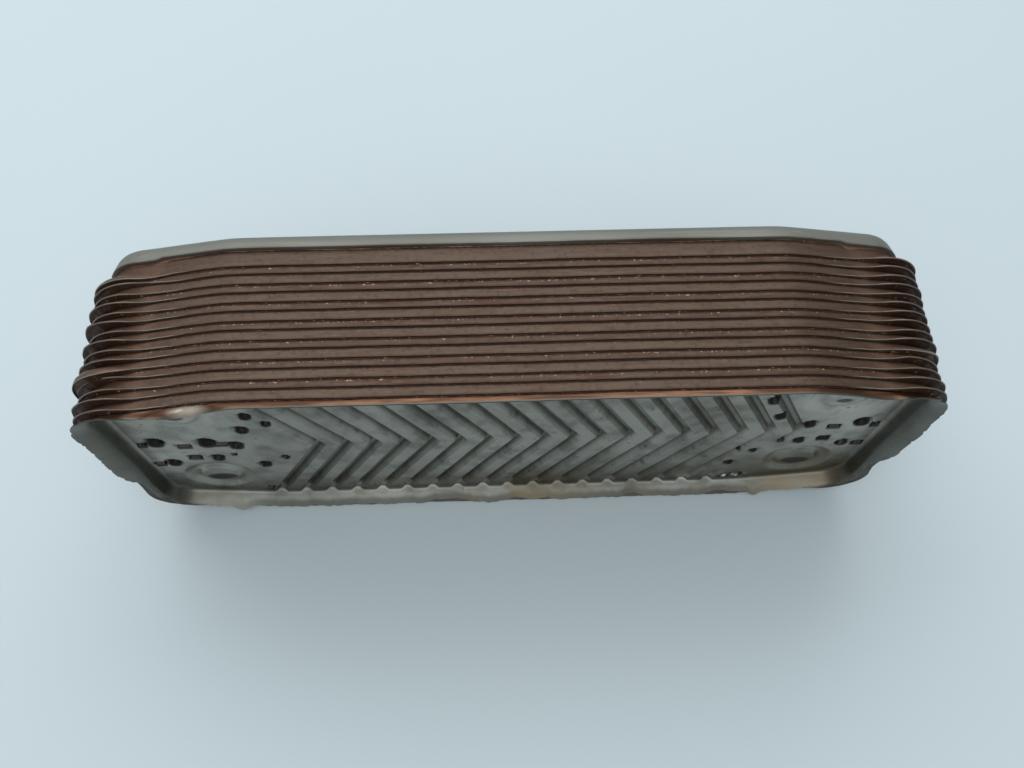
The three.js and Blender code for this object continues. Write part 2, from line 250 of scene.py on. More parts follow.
class Skin:
    """Collects points, their named values, and faces, in millimetres."""

    def __init__(self):
        self.points = []
        self.values = {}
        self.count = 0
        self.faces = []

    def add(self, x, y, z, **values):
        x, y, z = np.broadcast_arrays(x, y, z)
        n = x.size
        self.points.append(np.stack([x.ravel(), y.ravel(), z.ravel()], 1))
        for name in sorted(set(self.values) | set(values)):
            known = self.values.setdefault(name, [np.zeros(self.count)])
            value = values.get(name, 0.0)
            known.append(np.broadcast_to(value, x.shape).astype(float).ravel())
        index = np.arange(self.count, self.count + n).reshape(x.shape)
        self.count += n
        return index

    def quads(self, a, b, c, d):
        self.faces.extend(
            zip(a.ravel().tolist(), b.ravel().tolist(), c.ravel().tolist(), d.ravel().tolist())
        )

    def band(self, ring_a, ring_b):
        self.quads(ring_a, np.roll(ring_a, -1), np.roll(ring_b, -1), ring_b)

    def stitch(self, fine, coarse):
        """Band between a ring and one with as many or half as many points."""
        if len(fine) == len(coarse):
            self.band(fine, coarse)
            return
        n = len(coarse)
        for k in range(n):
            a, b, c = fine[2 * k], fine[2 * k + 1], fine[(2 * k + 2) % len(fine)]
            p, q = coarse[k], coarse[(k + 1) % n]
            self.faces.extend([(a, b, p), (b, q, p), (b, c, q)])

    def object(self, name, material, sharp_degrees=38):
        mesh = bpy.data.meshes.new(name)
        mesh.from_pydata(np.concatenate(self.points) * MM, [], self.faces)
        for key, parts in self.values.items():
            attribute = mesh.attributes.new(key, "FLOAT", "POINT")
            attribute.data.foreach_set("value", np.concatenate(parts).astype(np.float32))
        bm = bmesh.new()
        bm.from_mesh(mesh)
        bmesh.ops.recalc_face_normals(bm, faces=bm.faces)
        bm.to_mesh(mesh)
        bm.free()
        mesh.shade_smooth()
        mesh.set_sharp_from_angle(angle=math.radians(sharp_degrees))
        mesh.materials.append(material)
        piece = bpy.data.objects.new(name, mesh)
        bpy.context.scene.collection.objects.link(piece)
        return piece


def fill_floor(
    skin, outline, step, inset, place, level_of, port_level, holes, patch, painted_dark_of=None
):
    """Fills the outline with a grid that has a round patch at each port.

    place(x, level, z) gives a point. level_of(x, z, column_x, v) is the level of the pressed
    pattern. port_level(signs, radius) is the level round a port, out to the radius patch. holes
    lists the pierced ports. The last argument, given only for the end tray, gives the painted shade
    of the pressings, dark in the dimples, slots and port middles; with it, rings of the pressed
    pattern lead from the grid to each round patch.
    Returns the border ring and the ring of each bore.
    """
    x, z, column_x, v = outline.grid(inset, step)
    level = level_of(x, z, column_x, v)
    keep = np.ones((x.shape[0] - 1, x.shape[1] - 1), bool)
    used = np.ones(x.shape, bool)
    boxes = []
    for sign_x in (-1, 1):
        for sign_z in (-1, 1):
            near = np.hypot(x - sign_x * PORT_X, z - sign_z * PORT_Z) < patch + PATCH_MARGIN
            c, r = np.nonzero(near)
            c0, c1 = c.min() - 1, c.max() + 1
            r0, r1 = r.min() - 1, r.max() + 1
            keep[c0:c1, r0:r1] = False
            used[c0 + 1 : c1, r0 + 1 : r1] = False
            boxes.append(((sign_x, sign_z), c0, c1, r0, r1))
    index = np.full(x.shape, -1)
    px, py, pz = place(x[used], level[used], z[used])
    soot = painted_dark_of(x, z)[used] if painted_dark_of else 0.0
    index[used] = skin.add(px, py, pz, level=level[used] / PRESS, tip=99.0, soot=soot)
    corners = [index[:-1, :-1], index[1:, :-1], index[1:, 1:], index[:-1, 1:]]
    skin.quads(*[corner[keep] for corner in corners])

    bores = {}
    for signs, c0, c1, r0, r1 in boxes:
        centre = np.array([signs[0] * PORT_X, signs[1] * PORT_Z])
        loop = (
            [(i, r1) for i in range(c0, c1)]
            + [(c1, j) for j in range(r1, r0, -1)]
            + [(i, r0) for i in range(c1, c0, -1)]
            + [(c0, j) for j in range(r0, r1)]
        )
        previous = np.array([index[c, r] for c, r in loop])
        angle = np.array(
            [math.atan2(z[c, r] - centre[1], x[c, r] - centre[0]) for c, r in loop]
        )
        loop_x = np.array([x[c, r] for c, r in loop])
        loop_z = np.array([z[c, r] for c, r in loop])
        shares = np.linspace(0, 1, BLEND_RINGS[step])[1:-1] if painted_dark_of else ()
        for share in shares:
            ring_x = loop_x + share * (centre[0] + patch * np.cos(angle) - loop_x)
            ring_z = loop_z + share * (centre[1] + patch * np.sin(angle) - loop_z)
            plain_column = np.full_like(ring_x, -HALF_LENGTH)
            ring_level = level_of(ring_x, ring_z, plain_column, np.zeros_like(ring_x))
            px, py, pz = place(ring_x, ring_level, ring_z)
            soot = painted_dark_of(ring_x, ring_z)
            ring = skin.add(px, py, pz, level=ring_level / PRESS, tip=99.0, soot=soot)
            skin.band(previous, ring)
            previous = ring
        pierced = signs in holes
        inner = PORT_RADIUS if pierced else BLANK_CENTRE_RADIUS
        count = PIERCED_RINGS[step] if pierced else BLANK_RINGS[step]
        for radius in np.linspace(patch, inner, count):
            ring_x = centre[0] + radius * np.cos(angle)
            ring_z = centre[1] + radius * np.sin(angle)
            ring_level = np.full_like(ring_x, float(port_level(signs, radius)))
            px, py, pz = place(ring_x, ring_level, ring_z)
            soot = blank_port_dark_reflection(ring_x, ring_z, signs) if painted_dark_of else 0.0
            ring = skin.add(px, py, pz, level=1.0, tip=99.0, soot=soot)
            skin.band(previous, ring)
            previous = ring
        if pierced:
            bores[signs] = previous
        else:
            middle_level = np.array([float(port_level(signs, 0.0))])
            px, py, pz = place(centre[:1], middle_level, centre[1:])
            soot = blank_port_dark_reflection(centre[:1], centre[1:], signs) if painted_dark_of else 0.0
            middle = skin.add(px, py, pz, level=1.0, tip=99.0, soot=soot)[0]
            following = np.roll(previous, -1)
            skin.faces.extend((int(a), int(b), int(middle)) for a, b in zip(previous, following))
    ring = np.array([index[c, r] for c, r in outline.border(step)])
    return ring, bores


def sheet_profile(start_level, wall_offset, tip, inset, thickness, fractions):
    """Middle line of a floor bend and skirt, as (offset, depth) arrays of ring by row.

    start_level, tip: depth of the sheet's middle at the floor and at the edge, per ring point.
    wall_offset(depth) gives the reach of the sheet's middle, per ring point.
    """
    offsets, depths = [], []
    bend_end = start_level + inset * BEND_DROP
    corner = wall_offset(start_level)
    end_offset = wall_offset(bend_end)
    for t in BEND_STEPS:
        a, b, c = (1 - t) ** 2, 2 * t * (1 - t), t * t
        offsets.append(-inset * a + corner * b + end_offset * c)
        depths.append(start_level * (a + b) + bend_end * c)
    for fraction in fractions:
        depth = bend_end + (tip - bend_end) * fraction
        offsets.append(wall_offset(depth))
        depths.append(depth)
    offsets, depths = np.array(offsets), np.array(depths)
    d_offset = np.gradient(offsets, axis=0)
    d_depth = np.gradient(depths, axis=0)
    d_depth[0] = 0.0
    d_offset[0] = 1.0
    length = np.hypot(d_offset, d_depth)
    normal_offset, normal_depth = d_depth / length, -d_offset / length
    half = thickness / 2
    outer = (offsets + normal_offset * half, depths + normal_depth * half)
    inner = (offsets - normal_offset * half, depths - normal_depth * half)
    return outer, inner, depths


def join_sheet(skin, floors, outer_rings, edge, inner_rings, bores):
    """Joins both faces of a floor to its skirt, and closes the cut edge and the bores."""
    skin.stitch(outer_rings[0], floors[0])
    skin.stitch(inner_rings[0], floors[1])
    for group in (outer_rings, inner_rings):
        for a, b in zip(group[:-1], group[1:]):
            skin.band(a, b)
    skin.band(outer_rings[-1], edge)
    skin.band(edge, inner_rings[-1])
    for signs in bores[0]:
        skin.band(bores[0][signs], bores[1][signs])


# ---- shape of the trays ----

WAVE_LENGTHS = (61.0, 37.0, 23.0)


def stack_wander(outline, sign, world_y):
    """Shared inward waviness of the whole stack, so that the plates stay nested."""
    run = outline.placed_run(sign)
    slow = wander(run, outline.length, 5, (90.0, 55.0))
    return -0.10 + 0.07 * slow + 0.02 * np.sin(world_y * 0.21)


def chevron_level(column_x, v, cut_last, run_out):
    """Level of the pressed chevrons: PRESS on the ridges, 0 in the valleys."""
    level = np.full(np.broadcast(column_x, v).shape, PRESS)
    for i in range(CHEVRONS):
        distance = np.abs(column_x - (FIRST_VALLEY_X + i * CHEVRON_PITCH))
        depth = 1 - smooth((distance - VALLEY_FLOOR) / (VALLEY_TOP - VALLEY_FLOOR))
        reach = np.ones_like(v)
        if cut_last and i == CHEVRONS - 1:
            reach = smooth((v + 0.2) / 0.05) + smooth((-v - 0.8) / 0.05)
        level = level - PRESS * depth * reach
    edge = smooth((1 - np.abs(v)) / 0.03)
    return PRESS - (PRESS - level) * (run_out + (1 - run_out) * edge)


# Round dimples (x, z, radius) and slots (x, z, half length) of the blind end plate's end zones,
# as measured on the photo.
DIMPLES = [
    (-84.8, 4.2, 2.6),
    (-72.8, 3.2, 2.7),
    (-66.4, 1.0, 2.3),
    (-62.7, 10.6, 2.0),
    (-60.0, 18.2, 1.8),
    (-56.4, 13.6, 1.5),
    (-84.6, -9.5, 2.2),
    (-72.8, -6.8, 2.0),
    (-68.4, -5.0, 0.9),
    (-62.4, -12.2, 1.9),
    (-56.4, -7.8, 1.3),
    (59.4, 19.2, 2.0),
    (63.3, 9.8, 1.8),
    (71.9, 4.4, 2.1),
    (84.4, 5.3, 2.4),
    (72.4, -6.0, 1.8),
    (84.0, -8.2, 2.0),
    (67.7, -5.8, 1.2),
    (58.0, -12.0, 1.4),
    (62.3, -12.3, 1.4),
    (57.9, -21.0, 1.5),
    (60.0, -31.0, 1.3),
    (62.9, -30.6, 1.3),
    (-65.1, -30.6, 1.2),
]
SLOTS = [
    (-78.6, 1.6, 1.9),
    (-78.2, -6.0, 1.8),
    (-88.2, 3.0, 1.2),
    (-88.2, -9.9, 1.6),
    (-69.6, 2.2, 1.8),
    (78.2, 3.0, 1.7),
    (78.0, -4.6, 1.7),
    (88.0, 3.7, 1.2),
    (87.9, -8.3, 1.6),
]
SLOT_HALF_WIDTH = 1.0
# How much wider the mouths are on the rear of the sheet, whose faces are coarser, so that it
# stays clear of the front.
REAR_WIDER = 0.7


def dimple_level(x, z, wider):
    """Share by which the end zones are pressed down, 0 to 1, each mouth wider by that much."""
    depth = np.zeros_like(x)
    for cx, cz, radius in DIMPLES:
        distance = np.maximum(np.hypot(x - cx, z - cz) - wider, 0)
        depth = np.maximum(depth, 1 - smooth((distance - 0.35 * radius) / (0.75 * radius)))
    for cx, cz, half in SLOTS:
        along = np.maximum(np.abs(x - cx) - half + 0.6, 0)
        across = np.maximum(np.abs(z - cz) - SLOT_HALF_WIDTH + 0.6, 0)
        distance = np.maximum(np.hypot(along, across) - wider, 0)
        depth = np.maximum(depth, 0.85 * (1 - smooth(distance / 0.8)))
    return depth


def dimple_shade_share(x, z):
    """How much painted shade darkens the floors and lower walls of the dimples and slots, 0 to 1.
    """
    soot = np.zeros_like(x)
    for cx, cz, radius in DIMPLES:
        distance = np.hypot(x - cx, z - cz + 0.42 * radius)
        soot = np.maximum(soot, 1 - smooth((distance - 0.55 * radius) / (0.55 * radius)))
    for cx, cz, half in SLOTS:
        along = np.maximum(np.abs(x - cx) - half + 0.3, 0)
        across = np.maximum(np.abs(z - cz + 0.7) - SLOT_HALF_WIDTH - 0.1, 0)
        soot = np.maximum(soot, 1 - smooth(np.hypot(along, across) / 0.6))
    return soot


def blank_port_dark_reflection(x, z, signs):
    """A painted dark reflection: a soft dark oval on the lower half of an unpierced port's middle,
    smaller at the top.
    """
    size = 1.0 if signs[1] < 0 else 0.5
    across = (x - signs[0] * PORT_X) / (4.6 * size)
    up = (z - signs[1] * PORT_Z + 1.6) / (2.5 * size)
    return 0.95 * (1 - smooth((np.hypot(across, up) - 0.45) / 0.75))


def blind_port_level(signs, radius):
    """An unpierced port: a lowered seat ring round a raised middle, shallower at the top."""
    mouth = smooth((radius - SEAT_RADIUS + 1.6) / (SEAT_MOUTH_RADIUS - SEAT_RADIUS + 1.6))
    middle = 1 - smooth((radius - BLANK_RADIUS + 0.5) / 1.6)
    sunk = 1.1 if signs[1] < 0 else 0.7
    return PRESS - sunk * (1 - mouth) + 0.8 * sunk * middle


def pierced_port_level(signs, radius):
    """A pierced port: lowered round the bore on the lower side, level on the upper one."""
    if signs[1] < 0:
        return PRESS * smooth((radius - PORT_RADIUS - 1.3) / 1.6)
    return PRESS


# Uneven cut edges on the upper side, by plate: how far out, place along X, half width.
UPPER_RIM = {
    2: ((-0.5, -82.0, 12.0),),
    10: ((0.5, -86.0, 6.0),),
    11: ((1.7, -88.0, 9.0), (0.7, 86.0, 5.0)),
    12: ((-0.7, -84.5, 9.0), (-0.4, 86.0, 5.0)),
}
JUTTING_PLATE = 11
# Notches and tongues on the end tray's lower side, and its dents on the upper side, likewise.
LOWER_RIM = (
    (-0.7, -17.0, 9.0),
    (-0.6, 1.5, 5.0),
    (0.7, -5.5, 2.6),
    (-0.7, 34.0, 4.5),
    (-0.8, 58.5, 7.5),
    (0.7, 67.0, 2.2),
    (0.8, -73.0, 4.0),
)
DENTS = ((2.2, -68.5, 13.0), (0.7, 79.0, 10.0))


def rim_trim(outline, plate, sign):
    """How far a skirt's cut edge lies beyond TRAY_DEPTH, its share of the lip, and its dents.

    Even plates stand out at the short ends and odd ones are tucked in behind them, mostly at the
    left end.
    """
    x, z = sign * outline.x, sign * outline.z
    run = outline.placed_run(sign)
    lip = outline.lip
    middle = 1 - outline.bare
    fine = wander(run, outline.length, 100 + plate, (11.0, 6.0, 3.3))
    slow = wander(run, outline.length, 200 + plate, WAVE_LENGTHS)
    trim = 0.045 * fine + 0.06 * slow + 0.15 * slow * (1 - middle)
    odd_share = np.where(x < 0, 0.72, 0.93)
    share = lip * (1.0 if plate % 2 == 0 else odd_share)
    if plate == END_TRAY:
        share = share * 0.82
    share = share + 0.1 * lip * wander(run, outline.length, 300 + plate, (31.0, 17.0))
    dent = np.zeros_like(x)
    if plate % 2 == 0:
        trim -= 0.22 * middle + 0.1
    upper = smooth(z / 12.0)
    if plate == 1:
        trim += 0.8 * smooth((-x - 72.0) / 9.0) * upper
    for out, place, half_width in UPPER_RIM.get(plate, ()):
        trim += out * bump(x, place, half_width) * upper
    if plate == JUTTING_PLATE:
        share = share + 0.35 * bump(x, -88.0, 9.0) * upper
    if plate == END_TRAY:
        lower = smooth(-z / 18.0)
        ragged = wander(run, outline.length, 31, (26.0, 13.0, 8.0))
        trim -= lower * (1.75 + 0.22 * ragged)
        for out, place, half_width in LOWER_RIM:
            trim += lower * out * bump(x, place, half_width)
        trim -= upper * 0.2 * middle
        trim += (0.1 - 0.6 * slow) * 0.25 * lip
        torn = wander(run, outline.length, 37, (5.5, 3.1, 2.2))
        trim -= 0.35 * np.clip(torn, 0, 1) * np.maximum(lip, lower)
        share = np.clip(share, 0.0, 1.0)
        for deep, place, half_width in DENTS:
            dent += deep * bump(x, place, half_width) * upper
        dent -= 0.4 * lower * (1 - lip)
    return trim, np.clip(share, 0, 1), dent


def lip_reach(depth, strength):
    """How far the lip of that strength flares out beyond the sloping skirt."""
    past = np.clip((depth - SKIRT_BEND) / (TRAY_DEPTH - SKIRT_BEND), 0, 1)
    return strength * LIP_FLARE * past**1.5


def near_edge(depth, tip, length):
    """0 further than length from the cut edge, rising to 1 at the edge."""
    return np.clip((depth - (tip - length)) / length, 0, 1)


def previous_edge(outline, plate, sign):
    """Depth at which the skirt of the plate before this one ends, measured on this plate."""
    if plate == 1:
        return mount_edge(sign * outline.x)
    trim, _, _ = rim_trim(outline, plate - 1, sign)
    return TRAY_DEPTH - PITCH + trim


def tray(name, node, plate, outline, floor_steps, material, run_out):
    """One pressed tray. Odd plates are turned by half a turn about Y."""
    turned = plate % 2 == 1 and plate <= CHANNEL_PLATES
    is_end = plate == END_TRAY
    back_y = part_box(node)[1].y / MM
    if is_end:
        back_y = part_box(node)[0].y / MM + TRAY_DEPTH
    sign = -1 if turned else 1
    skin = Skin()

    holes = []
    port_level = blind_port_level
    if not is_end:
        holes = [(a, b) for a in (-1, 1) for b in (-1, 1)]
        port_level = pierced_port_level

    rings, bore_rings = [], []
    for extra, step in ((0.0, floor_steps[1]), (SHEET, floor_steps[0])):
        wider = 0.0 if extra else REAR_WIDER

        def level_of(x, z, column_x, v, wider=wider):
            level = chevron_level(column_x, v, is_end, run_out)
            if is_end:
                press = dimple_level(x, z, wider)
                level = np.minimum(level, PRESS * (1 - press))
                sag = 0.05 * np.sin(x * 0.23 + 1.7) * np.cos(z * 0.19)
                level = level + sag * smooth((1 - np.abs(v)) / 0.2)
            return level

        def place(x, level, z, extra=extra):
            return sign * x, back_y - level - extra, MIDDLE_Z + sign * z

        ring, bores = fill_floor(
            skin,
            outline,
            step,
            FLOOR_INSET,
            place,
            level_of,
            port_level,
            holes,
            SEAT_PATCH,
            dimple_shade_share if is_end else None,
        )
        rings.append(ring)
        bore_rings.append(bores)

    _, _, column_x, _ = outline.grid(FLOOR_INSET, 1)
    border = outline.border(1)
    border_column = np.array([column_x[c, 0] for c, _ in border])
    border_v = np.array([outline.v[r] for _, r in border])
    start = chevron_level(border_column, border_v, is_end, run_out) + SHEET / 2

    trim, strength, dent = rim_trim(outline, plate, sign)
    tip = TRAY_DEPTH + trim
    if is_end:
        tip = np.minimum(tip, TRAY_DEPTH - 0.1)
    previous_tip = previous_edge(outline, plate, sign)
    curl = EDGE_CURL * (1 - outline.bare)

    def wall_offset(depth):
        close = near_edge(depth, tip, CURL_LENGTH)
        pushed = near_edge(depth, tip, DENT_LENGTH)
        shape = (depth - PRESS) * SKIRT_SLOPE - WALL / 2 + lip_reach(depth, strength)
        return shape - curl * close**2 - dent * pushed**2

    fractions = (0.3, 0.55, 0.72, 0.84, 0.93, 1.0)
    outer, inner, depths = sheet_profile(
        start, wall_offset, tip, FLOOR_INSET, SHEET, fractions
    )
    waviness = stack_wander(outline, sign, back_y)

    def ring_points(offset, depth, row_depth, outside):
        reach = offset + waviness * smooth((row_depth - PRESS) / 2.5)
        reach = np.minimum(reach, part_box(node)[1].x / MM - HALF_LENGTH)
        if is_end:
            depth = np.minimum(depth, TRAY_DEPTH)
        x = outline.x + outline.ox * reach
        z = outline.z + outline.oz * reach
        return skin.add(
            sign * x,
            back_y - depth,
            MIDDLE_Z + sign * z,
            run=outline.placed_run(sign),
            tip=np.maximum(tip - depth, 0),
            seen=depth - previous_tip,
            outside=outside,
            bare=outline.bare,
            low=smooth(-sign * outline.z / 9.0),
            # Where the dent on the upper left gets a painted glint and a smoother finish.
            polish=bump(outline.x, -67.0, 5.5) * smooth(outline.z / 12.0),
            level=1.0,
        )

    outer_rings = [
        ring_points(outer[0][k], outer[1][k], depths[k], 1.0) for k in range(1, len(depths))
    ]
    inner_rings = [
        ring_points(inner[0][k], inner[1][k], depths[k], 0.0) for k in range(1, len(depths))
    ]
    edge_offset = (outer[0][-1] + inner[0][-1]) / 2
    edge_depth = (outer[1][-1] + inner[1][-1]) / 2 + 0.05
    edge = ring_points(edge_offset, edge_depth, depths[-1], 0.6)
    join_sheet(skin, rings, outer_rings, edge, inner_rings, bore_rings)
    piece = skin.object(name, material)
    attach(piece, "root")
    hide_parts(node)
    return piece


# ---- mounting plate ----


def mount_edge(x):
    """Depth of the mounting plate's cut edge, which reaches further past two small jogs."""
    jog = smooth((-x - 77.0) / 1.5) + smooth((x - 75.5) / 1.5)
    return MOUNT_SKIRT - MOUNT_JOG + MOUNT_JOG * np.clip(jog, 0, 1)


def mounting_plate(outline, material):
    node = "mounting_plate"
    back_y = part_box(node)[1].y / MM - MOUNT_SHEET - JOINT_GAP
    skin = Skin()
    holes = [(a, b) for a in (-1, 1) for b in (-1, 1)]
    mid = -JOINT_GAP - MOUNT_SHEET / 2
    wall = MOUNT_SHEET * math.hypot(1, SKIRT_SLOPE)

    def flat(x, z, column_x, v):
        return np.zeros(x.shape)

    def port_level(signs, radius):
        return 0.0

    rings, bore_rings = [], []
    for depth in (-JOINT_GAP - MOUNT_SHEET, -JOINT_GAP):

        def place(x, level, z, depth=depth):
            return x, back_y - depth + 0 * x, MIDDLE_Z + z

        ring, bores = fill_floor(
            skin, outline, 1, MOUNT_INSET, place, flat, port_level, holes, MOUNT_PATCH
        )
        rings.append(ring)
        bore_rings.append(bores)

    tip = mount_edge(outline.x)
    tip = tip + 0.05 * wander(outline.run, outline.length, 71, (47.0, 15.0, 6.0))
    start = np.full(outline.count, mid)

    def wall_offset(depth):
        return (depth - PRESS) * SKIRT_SLOPE + MOUNT_CLEARANCE + wall / 2

    fractions = (0.35, 0.7, 0.9, 1.0)
    outer, inner, depths = sheet_profile(
        start, wall_offset, tip, MOUNT_INSET, MOUNT_SHEET, fractions
    )
    waviness = stack_wander(outline, 1, back_y)

    def ring_points(offset, depth, row_depth, outside):
        reach = offset + waviness * smooth((row_depth + 0.5) / 3.0)
        x = outline.x + outline.ox * reach
        z = outline.z + outline.oz * reach
        return skin.add(
            x,
            back_y - depth,
            MIDDLE_Z + z,
            run=outline.run,
            tip=np.maximum(tip - depth, 0),
            outside=outside,
            bare=outline.bare,
            level=1.0,
        )

    outer_rings = [
        ring_points(outer[0][k], outer[1][k], depths[k], 1.0) for k in range(1, len(depths))
    ]
    inner_rings = [
        ring_points(inner[0][k], inner[1][k], depths[k], 0.0) for k in range(1, len(depths))
    ]
    bevel = ring_points(outer[0][-1] - 0.22, outer[1][-1] + 0.16, depths[-1], 0.8)
    join_sheet(skin, rings, outer_rings, bevel, inner_rings, bore_rings)
    piece = skin.object(node + "_shell", material)
    bevel_ports(piece)
    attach(piece, "root")
    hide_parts(node)
    return piece


def bevel_ports(piece):
    """Rounds the edges of the four bores a little."""
    bm = bmesh.new()
    bm.from_mesh(piece.data)
    edges = []
    for edge in bm.edges:
        if len(edge.link_faces) != 2 or edge.calc_face_angle(0) < 1.2:
            continue
        middle = (edge.verts[0].co + edge.verts[1].co) / 2 / MM
        z = abs(middle.z - MIDDLE_Z)
        if math.hypot(abs(middle.x) - PORT_X, z - PORT_Z) < PORT_RADIUS + 0.3:
            edges.append(edge)
    bmesh.ops.bevel(bm, geom=edges, offset=0.25 * MM, segments=3, affect="EDGES", profile=0.5)
    bm.to_mesh(piece.data)
    bm.free()
    piece.data.shade_smooth()
    piece.data.set_sharp_from_angle(angle=math.radians(38))


# ---- copper seams ----


def seam(name, node, plate, outline, material):
    """Copper in the groove between one skirt and the next, its face uneven and wetting both."""
    is_mount = plate == 0
    back_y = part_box("channel_plate_01")[1].y / MM - PITCH * max(plate - 1, 0)
    turned = plate % 2 == 1
    sign = -1 if turned and not is_mount else 1
    x, z = sign * outline.x, sign * outline.z
    run = outline.placed_run(sign)
    grain = wander(run, outline.length, 400 + plate, (7.0, 3.1, 2.0))
    slow = wander(run, outline.length, 500 + plate, (41.0, 23.0))
    lip = outline.lip

    if is_mount:
        edge = mount_edge(x)
        start = np.full(outline.count, PRESS + 0.3)
        end = edge + 0.02 + 0.09 * grain + 0.06 * slow
        outer_end = end - 0.05
        corner = bump(np.abs(x), 77.5, 3.0) * smooth(z / 15.0)
        jog = edge - MOUNT_SKIRT + MOUNT_JOG
        inner_end = end + 0.22 + 0.12 * slow + 0.6 * corner + 0.5 * jog

        def inner_reach(depth):
            return (depth - PRESS) * SKIRT_SLOPE + 0.01

        def outer_reach(depth):
            return (depth - PRESS) * SKIRT_SLOPE + MOUNT_CLEARANCE + 0.12
    else:
        trim, strength, _ = rim_trim(outline, plate, sign)
        tip = TRAY_DEPTH + trim
        start = np.full(outline.count, PITCH + PRESS + 0.9)
        closed = tip - 0.04 + 0.07 * grain + 0.04 * slow - 0.15 * outline.bare
        end = closed - 0.12 * smooth((lip - 0.05) / 0.5)
        outer_end = end
        inner_end = end + 0.24 + 0.14 * np.clip(grain + 0.4 * slow, 0, 1) + 0.5 * lip

        def inner_reach(depth):
            return (depth - PITCH - PRESS) * SKIRT_SLOPE

        def outer_reach(depth):
            close = near_edge(depth, tip, CURL_LENGTH)
            curl = EDGE_CURL * (1 - outline.bare) * close**2
            flare = lip_reach(depth, strength)
            return (depth - PRESS) * SKIRT_SLOPE - WALL - curl + flare + 0.03

    waviness = stack_wander(outline, sign, back_y)
    skin = Skin()

    def ring(reach, depth):
        offset = reach + waviness * smooth((depth - PRESS) / 2.5)
        return skin.add(
            sign * (outline.x + outline.ox * offset),
            back_y - depth,
            MIDDLE_Z + sign * (outline.z + outline.oz * offset),
            low=smooth(-z / 9.0),
        )

    middle_depth = (outer_end + inner_end) / 2 - 0.03
    middle_reach = (inner_reach(middle_depth) + outer_reach(middle_depth)) / 2
    rings = [
        ring(inner_reach(start), start),
        ring(outer_reach(start), start),
        ring(outer_reach(outer_end), outer_end),
        ring(middle_reach, middle_depth),
        ring(inner_reach(inner_end) + 0.02, inner_end),
    ]
    for a, b in zip(rings, rings[1:] + rings[:1]):
        skin.band(a, b)
    piece = skin.object(name, material, sharp_degrees=60)
    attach(piece, "root")
    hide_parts(node)
    return piece


# ---- materials ----


class Nodes:
    """Short ways to add and link shader nodes."""

    def __init__(self, name):
        self.material = bpy.data.materials.new(name)
        self.material.use_nodes = True
        self.tree = self.material.node_tree
        self.tree.nodes.clear()
        self.output = self.tree.nodes.new("ShaderNodeOutputMaterial")
        self.shader = self.tree.nodes.new("ShaderNodeBsdfPrincipled")
        self.link(self.shader.outputs["BSDF"], self.output.inputs["Surface"])

    def link(self, a, b):
        self.tree.links.new(a, b)

    def set(self, socket, value):
        if isinstance(value, (int, float, tuple)):
            socket.default_value = value
        else:
            self.link(value, socket)

    def attribute(self, name):
        node = self.tree.nodes.new("ShaderNodeAttribute")
        node.attribute_name = name
        return node.outputs["Fac"]

    def place(self):
        return self.tree.nodes.new("ShaderNodeTexCoord").outputs["Object"]

    def math(self, operation, a, b=0.0):
        node = self.tree.nodes.new("ShaderNodeMath")
        node.operation = operation
        self.set(node.inputs[0], a)
        self.set(node.inputs[1], b)
        return node.outputs[0]

    def ramp(self, value, low, high):
        """0 below low, 1 above high, smooth between."""
        node = self.tree.nodes.new("ShaderNodeMapRange")
        node.interpolation_type = "SMOOTHSTEP"
        self.set(node.inputs["Value"], value)
        node.inputs["From Min"].default_value = low
        node.inputs["From Max"].default_value = high
        return node.outputs["Result"]

    def scaled(self, vector, scale):
        node = self.tree.nodes.new("ShaderNodeVectorMath")
        node.operation = "MULTIPLY"
        self.link(vector, node.inputs[0])
        node.inputs[1].default_value = scale
        return node.outputs[0]

    def combine(self, x, y, z):
        node = self.tree.nodes.new("ShaderNodeCombineXYZ")
        for socket, value in zip(node.inputs, (x, y, z)):
            self.set(socket, value)
        return node.outputs[0]

    def noise(self, vector, scale, detail=3.0, roughness=0.55):
        node = self.tree.nodes.new("ShaderNodeTexNoise")
        node.inputs["Scale"].default_value = scale
        node.inputs["Detail"].default_value = detail
        node.inputs["Roughness"].default_value = roughness
        self.link(vector, node.inputs["Vector"])
        return node.outputs["Fac"]

    def mix(self, share, a, b):
        node = self.tree.nodes.new("ShaderNodeMix")
        node.data_type = "RGBA"
        self.set(node.inputs["Factor"], share)
        self.set(node.inputs["A"], a)
        self.set(node.inputs["B"], b)
        return node.outputs["Result"]

    def bump(self, height, strength, distance):
        node = self.tree.nodes.new("ShaderNodeBump")
        node.inputs["Strength"].default_value = strength
        node.inputs["Distance"].default_value = distance
        self.link(height, node.inputs["Height"])
        self.link(node.outputs["Normal"], self.shader.inputs["Normal"])

    def finish(self, colour, roughness, metallic):
        self.set(self.shader.inputs["Base Color"], colour)
        self.set(self.shader.inputs["Roughness"], roughness)
        self.set(self.shader.inputs["Metallic"], metallic)
        return self.material


STEEL = (0.245, 0.236, 0.207, 1.0)
STEEL_LIGHT = (0.410, 0.398, 0.352, 1.0)
STEEL_DARK = (0.095, 0.088, 0.072, 1.0)
# Cool dark grey for the painted shade on the end tray's inner walls.
STEEL_WALL_SHADE = (0.074, 0.085, 0.076, 1.0)
# Pale steel for the painted highlight along the end tray's floor bend.
STEEL_FOLD_HIGHLIGHT = (0.620, 0.610, 0.560, 1.0)
# Near black for the painted shade near the end tray's cut edge.
STEEL_RIM_SHADE = (0.040, 0.043, 0.037, 1.0)
